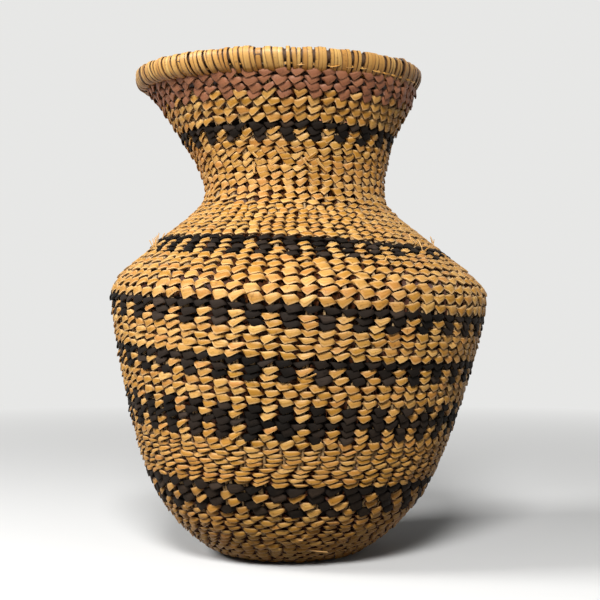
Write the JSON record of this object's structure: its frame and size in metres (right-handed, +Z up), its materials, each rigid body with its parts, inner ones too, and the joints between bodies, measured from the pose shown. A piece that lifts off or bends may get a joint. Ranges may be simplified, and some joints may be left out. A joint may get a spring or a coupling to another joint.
{
  "type": "twined basketry olla",
  "caption": "Twined basketry jar with a wide belly, narrow neck, flared mouth and overcast rim, in straw colour with black and red-brown stripes.",
  "frame": {"origin": "on the ground under the middle of the belly, the widest part", "axes": "+Z up through the mouth; -Y towards the pictured side; +X to the viewer's right in the picture. The neck and the rim lean slightly towards -X."},
  "size_m": [0.2188, 0.22, 0.2823],
  "materials": {
    "natural_splint": "split natural shoot, straw colour, aged, satin",
    "black_splint": "split shoot dyed near black, satin",
    "red_splint": "split shoot dyed red-brown, matte",
    "overcast_splint": "pale split shoot, satin",
    "rod": "peeled rod, matte"
  },
  "bodies": {
    "root": {"start_knot": "natural_splint", "base_weft": "natural_splint", "heel_turn_weft": "natural_splint", "heel_weft": "natural_splint", "heel_black_weft": "black_splint", "lower_wall_weft": "natural_splint", "lower_black_weft": "black_splint", "middle_wall_weft": "natural_splint", "middle_black_weft": "black_splint", "upper_wall_weft": "natural_splint", "belly_black_weft": "black_splint", "shoulder_weft": "natural_splint", "shoulder_black_weft": "black_splint", "slope_weft": "natural_splint", "neck_weft": "natural_splint", "neck_black_weft": "black_splint", "flare_weft": "natural_splint", "red_weft": "red_splint", "rim_course": "natural_splint", "rim_hoop": "rod", "rim_overcast": "overcast_splint", "warp_01": "rod", "warp_02": "rod", "warp_03": "rod", "warp_04": "rod", "warp_05": "rod", "warp_06": "rod", "warp_07": "rod", "warp_08": "rod", "warp_09": "rod", "warp_10": "rod", "warp_11": "rod", "warp_12": "rod", "warp_13": "rod", "warp_14": "rod", "warp_15": "rod"}
  },
  "joints": []
}
